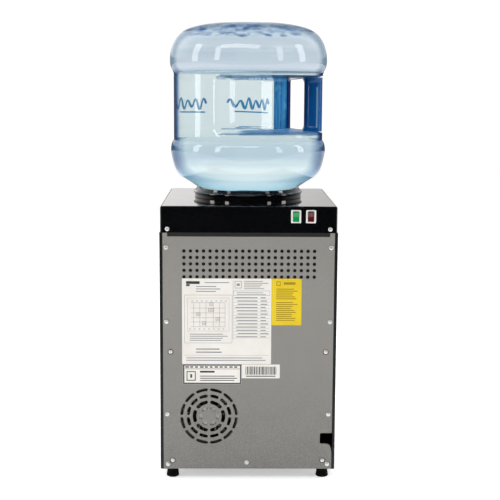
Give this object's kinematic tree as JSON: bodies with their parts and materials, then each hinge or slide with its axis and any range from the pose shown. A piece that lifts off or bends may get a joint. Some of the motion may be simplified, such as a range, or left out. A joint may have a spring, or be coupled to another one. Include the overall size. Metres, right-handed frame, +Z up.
{
  "type": "countertop water dispenser",
  "caption": "Narrow countertop dispenser for hot and cold drinking water, fed by an inverted handled bottle on a collar, with push paddle taps over a slide-out drip tray.",
  "frame": {"origin": "on the surface that the feet stand on, under the middle of the object", "axes": "+Z up, -Y towards the user at the taps, +Y out of the rear panel, -X to the user's left"},
  "size_m": [0.2886, 0.3375, 0.7535],
  "materials": {
    "black_paint": "satin",
    "grey_paint": "satin",
    "gloss_black": "gloss",
    "satin_black": "satin",
    "white_plastic": "satin",
    "foot_rubber": "matte",
    "lamp_lens": "gloss",
    "stainless": "satin",
    "zinc_steel": "satin",
    "aluminium": "satin",
    "module_ceramic": "matte",
    "foam": "matte",
    "cold_blue": "gloss",
    "hot_red": "gloss",
    "bottle_blue": "gloss",
    "cap_blue": "satin",
    "switch_green": "gloss",
    "switch_red": "gloss",
    "silicone": "satin",
    "label_paper": "satin",
    "label_yellow": "satin"
  },
  "bodies": {
    "cabinet": {"base_pan": "black_paint", "foot_rear_left": "foot_rubber", "foot_rear_right": "foot_rubber", "foot_front_left": "foot_rubber", "foot_front_right": "foot_rubber", "side_panel_left": "black_paint", "side_panel_right": "black_paint", "rear_panel": "grey_paint", "top_cover": "gloss_black", "lamp_lens": "lamp_lens", "front_fascia": "gloss_black", "alcove_liner": "satin_black", "cold_tap_body": "satin_black", "hot_tap_body": "satin_black", "cold_tap_pin": "stainless", "hot_tap_pin": "stainless", "reservoir": "white_plastic", "tank_shelf": "black_paint", "cold_tank": "stainless", "cold_tank_foam": "foam", "cold_block": "aluminium", "thermoelectric_module": "module_ceramic", "heat_sink": "aluminium", "fan_frame": "satin_black", "hot_tank": "stainless", "heater_band": "stainless", "hot_tank_stand": "zinc_steel", "hot_thermostat": "satin_black", "drain_fitting": "white_plastic", "cold_feed_hose": "silicone", "cold_outlet_hose": "silicone", "hot_feed_hose": "silicone", "hot_outlet_hose": "silicone", "power_supply": "zinc_steel", "terminal_block": "white_plastic", "cold_switch_bezel": "white_plastic", "hot_switch_bezel": "white_plastic", "data_label": "label_paper", "notice_label": "label_yellow", "warning_label": "label_paper", "serial_label": "label_paper", "cover_screw_left": "stainless", "cover_screw_right": "stainless", "rear_screw_upper_left": "stainless", "rear_screw_upper_right": "stainless", "rear_screw_lower_left": "stainless", "rear_screw_lower_right": "stainless"},
    "cold_rocker": {"cold_switch_rocker": "switch_green"},
    "hot_rocker": {"hot_switch_rocker": "switch_red"},
    "cold_paddle": {"cold_tap_paddle": "cold_blue"},
    "hot_paddle": {"hot_tap_paddle": "satin_black"},
    "child_lock": {"hot_child_lock": "hot_red"},
    "fan": {"fan_impeller": "satin_black"},
    "tray": {"drip_tray": "satin_black"},
    "grille": {"drip_grille": "stainless"},
    "collar": {"bottle_collar": "gloss_black", "bottle_probe": "white_plastic"},
    "bottle": {"bottle": "bottle_blue", "bottle_cap": "cap_blue"},
    "plug": {"drain_plug": "satin_black"}
  },
  "joints": [
    {"name": "cold_switch_press", "type": "hinge", "parent": "cabinet", "child": "cold_rocker", "pos_m": [-0.076, 0.1645, 0.4402], "axis": [1, 0, 0], "range_deg": [0, 16]},
    {"name": "hot_switch_press", "type": "hinge", "parent": "cabinet", "child": "hot_rocker", "pos_m": [-0.1, 0.1645, 0.4402], "axis": [1, 0, 0], "range_deg": [0, 16]},
    {"name": "cold_paddle_push", "type": "hinge", "parent": "cabinet", "child": "cold_paddle", "pos_m": [-0.042, -0.097, 0.305], "axis": [1, 0, 0], "range_deg": [0, 15], "stiffness_Nm_per_rad": 0.4, "springref_deg": -5.73},
    {"name": "hot_paddle_push", "type": "hinge", "parent": "cabinet", "child": "hot_paddle", "pos_m": [0.042, -0.097, 0.305], "axis": [1, 0, 0], "range_deg": [0, 15], "stiffness_Nm_per_rad": 0.4, "springref_deg": -5.73},
    {"name": "child_lock_slide", "type": "slide", "parent": "hot_paddle", "child": "child_lock", "axis": [0, 0, -1], "range_m": [0, 0.005], "stiffness_N_per_m": 150, "springref_m": -0.003},
    {"name": "fan_spin", "type": "hinge", "parent": "cabinet", "child": "fan", "pos_m": [0.064, 0.15, 0.1085], "axis": [0, 1, 0], "continuous": true},
    {"name": "tray_slide", "type": "slide", "parent": "cabinet", "child": "tray", "axis": [0, -1, 0], "range_m": [0, 0.095]},
    {"name": "grille_lift", "type": "slide", "parent": "tray", "child": "grille", "axis": [0, 0, 1], "range_m": [0, 0.04]},
    {"name": "collar_lift", "type": "slide", "parent": "cabinet", "child": "collar", "axis": [0, 0, 1], "range_m": [0, 0.1]},
    {"name": "bottle_lift", "type": "slide", "parent": "collar", "child": "bottle", "axis": [0, 0, 1], "range_m": [0, 0.1]},
    {"name": "drain_plug_turn", "type": "hinge", "parent": "cabinet", "child": "plug", "pos_m": [-0.072, 0.034, 0.01], "axis": [0, 0, 1], "range_deg": [0, 720]}
  ]
}
